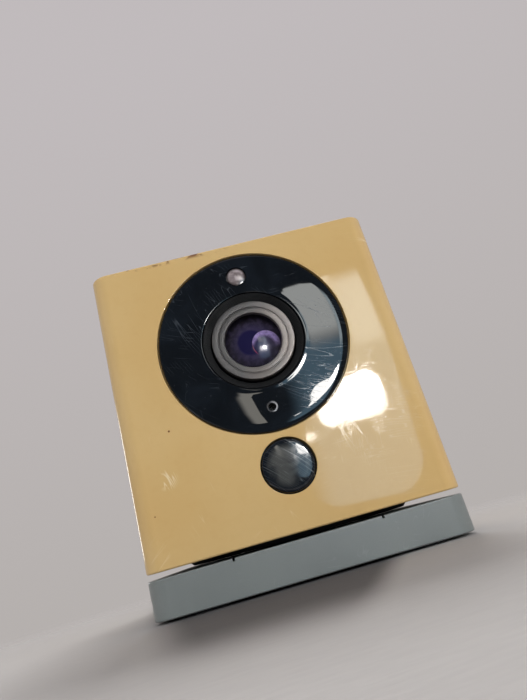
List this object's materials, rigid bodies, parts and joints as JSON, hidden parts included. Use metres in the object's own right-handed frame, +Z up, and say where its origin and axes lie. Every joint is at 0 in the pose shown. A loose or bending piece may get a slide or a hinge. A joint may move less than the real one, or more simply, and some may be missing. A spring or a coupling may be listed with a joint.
{
  "type": "security camera",
  "caption": "Cube indoor security camera with a round lens plate, motion-sensor window and rear ports, on a folding magnetic stand with a tilting, turning head.",
  "frame": {"origin": "under the middle of the folded stand, on the surface that it stands on", "axes": "+Z up, the lens looks along -Y, +X to the camera's left, which is the viewer's right when facing the lens"},
  "size_m": [0.05, 0.05, 0.057],
  "materials": {
    "casing": "glossy moulded plastic, yellowed with age, fine hairline scratches",
    "foot_grey": "satin grey moulded plastic",
    "cover_grey": "satin light grey moulded plastic",
    "turntable": "matte black moulded plastic",
    "front_black": "polished black plastic with hairline scratches",
    "light_window": "clear plastic, polished",
    "lens_black": "matte black plastic",
    "lens_ring": "satin turned aluminium with fine turning marks",
    "lens_glass": "coated glass with a violet reflection",
    "filter_glass": "infrared blocking glass, reddish",
    "pin_steel": "bright steel",
    "spring_brass": "spring bronze and copper winding",
    "magnet": "nickel plated magnet",
    "foot_rubber": "matte black rubber",
    "circuit_board": "green circuit board with solder mask",
    "chip": "black moulded chip package",
    "infrared_led": "clear resin over a small die",
    "metal_can": "tinned steel can",
    "heat_sink": "raw extruded aluminium",
    "socket_steel": "tinned steel shell",
    "frame_black": "matte black moulded plastic",
    "flexible_circuit": "amber polyimide film",
    "speaker_cone": "black paper cone in a plastic basket",
    "gasket_foam": "soft black foam",
    "button_grey": "dark grey moulded plastic"
  },
  "bodies": {
    "foot": {"foot_plate": "foot_grey", "foot_pin": "pin_steel", "magnet_left": "magnet", "magnet_right": "magnet", "foot_pad_left": "foot_rubber", "foot_pad_right": "foot_rubber"},
    "arm": {"stand_arm": "foot_grey", "head_pin": "pin_steel"},
    "turntable": {"turntable_disc": "turntable", "swivel_washer": "pin_steel", "friction_washer": "spring_brass", "swivel_screw": "pin_steel"},
    "head": {"casing": "casing", "rear_panel": "cover_grey", "bottom_cover": "cover_grey", "front_disc": "front_black", "motion_window": "front_black", "light_window": "light_window", "status_light": "light_window", "lens_bezel": "lens_black", "lens_barrel": "lens_black", "lens_holder": "lens_black", "lens_ring": "lens_ring", "front_lens": "lens_glass", "middle_lens": "lens_glass", "rear_lens": "lens_glass", "cover_screw_1": "pin_steel", "cover_screw_2": "pin_steel", "filter_coil": "spring_brass", "microphone_boot": "foot_rubber", "sensor_board": "circuit_board", "led_board": "circuit_board", "motion_board": "circuit_board", "main_board": "circuit_board", "port_board": "circuit_board", "image_sensor": "chip", "processor": "chip", "light_sensor": "chip", "setup_switch": "chip", "infrared_led_1": "infrared_led", "infrared_led_2": "infrared_led", "infrared_led_3": "infrared_led", "infrared_led_4": "infrared_led", "microphone": "metal_can", "motion_sensor": "metal_can", "wifi_module": "metal_can", "heat_sink": "heat_sink", "usb_socket": "socket_steel", "power_socket": "socket_steel", "card_socket": "socket_steel", "inner_frame": "frame_black", "antenna": "flexible_circuit", "sensor_cable": "flexible_circuit", "speaker": "speaker_cone", "speaker_gasket": "gasket_foam"},
    "button": {"setup_button": "button_grey"},
    "filter": {"filter_slider": "lens_black", "infrared_filter": "filter_glass", "clear_filter": "lens_glass"}
  },
  "joints": [
    {"name": "foot_hinge", "type": "hinge", "parent": "foot", "child": "arm", "pos_m": [0, -0.0225, 0.0028], "axis": [1, 0, 0], "range_deg": [0, 90]},
    {"name": "head_hinge", "type": "hinge", "parent": "arm", "child": "turntable", "pos_m": [0, 0.0225, 0.0028], "axis": [-1, 0, 0], "range_deg": [0, 90]},
    {"name": "head_swivel", "type": "hinge", "parent": "turntable", "child": "head", "pos_m": [0, 0, 0.0079], "axis": [0, 0, 1], "continuous": true},
    {"name": "setup_button_press", "type": "slide", "parent": "head", "child": "button", "axis": [0, 0, 1], "range_m": [0, 0.0004], "stiffness_N_per_m": 800, "springref_m": -0.0004},
    {"name": "filter_shift", "type": "slide", "parent": "head", "child": "filter", "axis": [1, 0, 0], "range_m": [0, 0.0064]}
  ]
}
